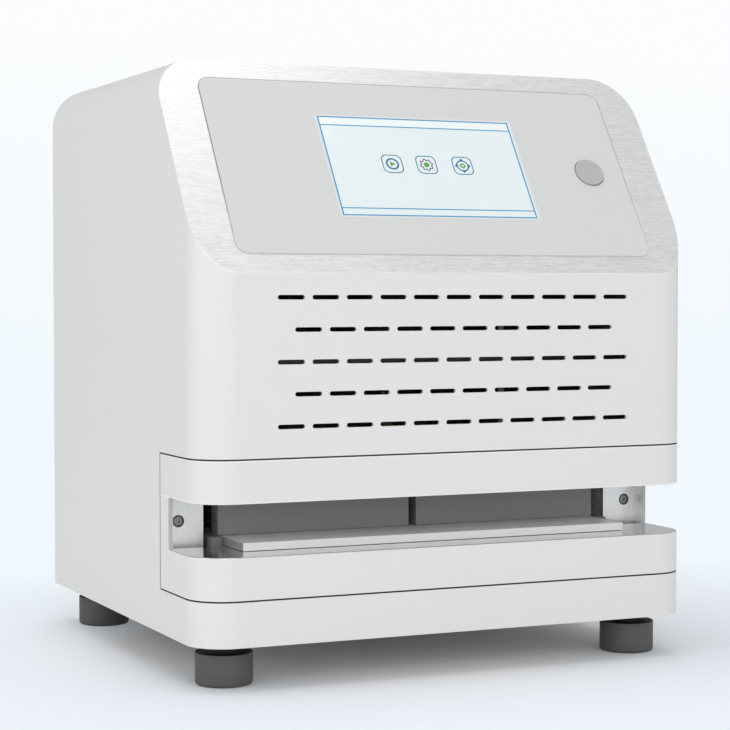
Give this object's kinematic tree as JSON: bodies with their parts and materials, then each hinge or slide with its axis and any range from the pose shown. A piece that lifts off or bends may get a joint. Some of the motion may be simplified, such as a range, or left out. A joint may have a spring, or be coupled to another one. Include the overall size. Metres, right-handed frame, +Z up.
{
  "type": "bench microplate heat sealer",
  "caption": "Bench-top heat sealer with a sloping touch panel, a hand notch across its front, a sliding plate tray and twin heated heads that press down on it.",
  "frame": {"origin": "on the table, under the middle of the casing's outline", "axes": "+Z up, +Y from the front to the back, +X to the right as seen by the user"},
  "size_m": [0.38, 0.3499, 0.4272],
  "materials": {
    "casing_paint": "fine satin powder coat",
    "pan_zinc": "satin",
    "brushed_plate": "vertical brushing",
    "brushed_fascia": "brushed across",
    "frame_metal": "brushed",
    "tray_metal": "satin anodised",
    "guide_plastic": "matt",
    "shield_dark": "dark grey satin",
    "heater_metal": "machined",
    "insulation": "matt",
    "ground_steel": "ground",
    "screw_steel": "turned",
    "bush_brass": "turned",
    "foot_rubber": "matt",
    "overlay_film": "fine grain film",
    "screen_glass": "glossy touch screen",
    "module_case": "plain",
    "button_plastic": "satin",
    "black_plastic": "matt",
    "motor_black": "black",
    "board_green": "solder mask"
  },
  "bodies": {
    "casing": {"housing_shell": "casing_paint", "mouth_bezel": "casing_paint", "mouth_plate_left": "brushed_plate", "mouth_plate_right": "brushed_plate", "mouth_plate_screws": "screw_steel", "fascia_plate": "brushed_fascia", "control_overlay": "overlay_film", "display_glass": "screen_glass", "display_module": "module_case", "button_housing": "black_plastic", "base_pan": "pan_zinc", "rear_panel": "pan_zinc", "rear_panel_screws": "screw_steel", "foot_front_left": "foot_rubber", "foot_rear_left": "foot_rubber", "foot_front_right": "foot_rubber", "foot_rear_right": "foot_rubber", "foot_screws": "screw_steel", "side_frame_left": "frame_metal", "side_frame_right": "frame_metal", "frame_bridge": "frame_metal", "frame_screws": "screw_steel", "guide_bushes": "bush_brass", "press_motor": "motor_black", "tray_motor": "motor_black", "tray_guide_left": "guide_plastic", "tray_guide_right": "guide_plastic", "tray_screw_bearings": "frame_metal", "power_supply": "module_case", "controller_board": "board_green", "board_heatsink": "frame_metal", "board_connectors": "black_plastic", "board_standoffs": "screw_steel", "fan_frame": "black_plastic", "fan_guard": "screw_steel", "mains_inlet": "black_plastic", "switch_body": "black_plastic"},
    "tray": {"tray_plate": "tray_metal", "tray_nut_bracket": "frame_metal"},
    "press_head": {"press_beam": "frame_metal", "press_nut": "bush_brass", "guide_rod_left": "ground_steel", "guide_rod_right": "ground_steel", "heat_shield_left": "shield_dark", "heat_shield_right": "shield_dark", "insulator_left": "insulation", "insulator_right": "insulation", "heater_block_left": "heater_metal", "heater_block_right": "heater_metal", "heater_cartridges": "screw_steel"},
    "press_screw": {"press_screw": "ground_steel"},
    "tray_screw": {"tray_screw": "ground_steel"},
    "fan_rotor": {"fan_rotor": "black_plastic"},
    "power_button": {"power_button": "button_plastic"},
    "rocker": {"rocker": "black_plastic"}
  },
  "joints": [
    {"name": "tray_slide", "type": "slide", "parent": "casing", "child": "tray", "axis": [0, -1, 0], "range_m": [0, 0.17]},
    {"name": "press_lift", "type": "slide", "parent": "casing", "child": "press_head", "axis": [0, 0, 1], "range_m": [0, 0.028]},
    {"name": "tray_screw_turn", "type": "hinge", "parent": "casing", "child": "tray_screw", "pos_m": [0, 0, 0.074], "axis": [0, 1, 0], "range_deg": [0, 7700]},
    {"name": "press_screw_turn", "type": "hinge", "parent": "casing", "child": "press_screw", "pos_m": [0, -0.0485, 0.2], "axis": [0, 0, 1], "range_deg": [0, 1300]},
    {"name": "fan_spin", "type": "hinge", "parent": "casing", "child": "fan_rotor", "pos_m": [-0.11, 0.16, 0.32], "axis": [0, 1, 0], "continuous": true},
    {"name": "button_press", "type": "slide", "parent": "casing", "child": "power_button", "axis": [0, 0.8365, -0.5479], "range_m": [0, 0.0012], "stiffness_N_per_m": 900, "springref_m": -0.0006},
    {"name": "rocker_tip", "type": "hinge", "parent": "casing", "child": "rocker", "pos_m": [0.075, 0.1705, 0.08], "axis": [0, 0, 1], "range_deg": [0, 16.4]}
  ],
  "couplings": [
    {"joint": "tray_screw_turn", "follows": "tray_slide", "rad_per_m": 785.4},
    {"joint": "press_screw_turn", "follows": "press_lift", "rad_per_m": 785.4}
  ]
}
